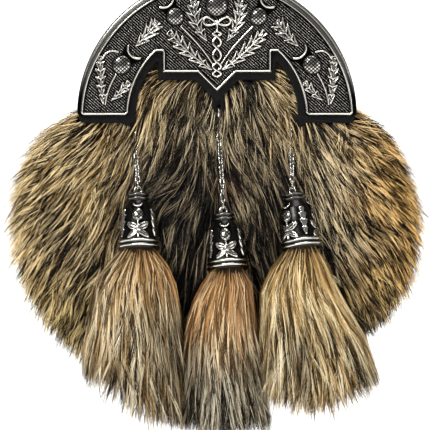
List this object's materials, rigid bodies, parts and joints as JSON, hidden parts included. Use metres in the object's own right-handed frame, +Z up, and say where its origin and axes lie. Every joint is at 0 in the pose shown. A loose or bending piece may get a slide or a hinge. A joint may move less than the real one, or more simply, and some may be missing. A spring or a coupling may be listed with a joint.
{
  "type": "sporran pouch",
  "caption": "Full-dress sporran: a fur pouch under an arched cast-metal cantle, with fur tassels in metal bells on short chains and loops on its back for a strap.",
  "frame": {"origin": "the middle of the strap's way through the two loops on the back, halfway between the loops", "axes": "+Z up along the object's length, -Y is the front with the cantle and the tassels, +Y the back that lies on the wearer, +X to the right as seen from the front"},
  "size_m": [0.2358, 0.0828, 0.2717],
  "materials": {
    "cantle_metal": "cast, plated with antique silver, black in the sunk parts and polished on the raised ones",
    "bell_metal": "cast, plated with antique silver, black in the sunk parts and polished on the raised ones",
    "chain_wire": "plated wire, dulled in the joints",
    "cantle_leather": "black grained leather with a polished edge",
    "pouch_leather": "black grained leather, edge-stitched",
    "pelt": "long tan guard hair, banded dark, over a paler undercoat",
    "tassel_hair": "long golden and tan tail hair with dark tips"
  },
  "bodies": {
    "root": {"cantle": "cantle_metal", "cantle_backing": "cantle_leather", "fur_body": "pelt", "front_panel": "pouch_leather", "gusset": "pouch_leather", "back_panel": "pouch_leather", "strap_loop_left": "pouch_leather", "strap_loop_right": "pouch_leather", "tassel_chain_left": "chain_wire", "tassel_chain_middle": "chain_wire", "tassel_chain_right": "chain_wire", "tassel_cap_left": "bell_metal", "tassel_cap_middle": "bell_metal", "tassel_cap_right": "bell_metal", "tassel_fur_left": "tassel_hair", "tassel_fur_middle": "tassel_hair", "tassel_fur_right": "tassel_hair"}
  },
  "joints": []
}
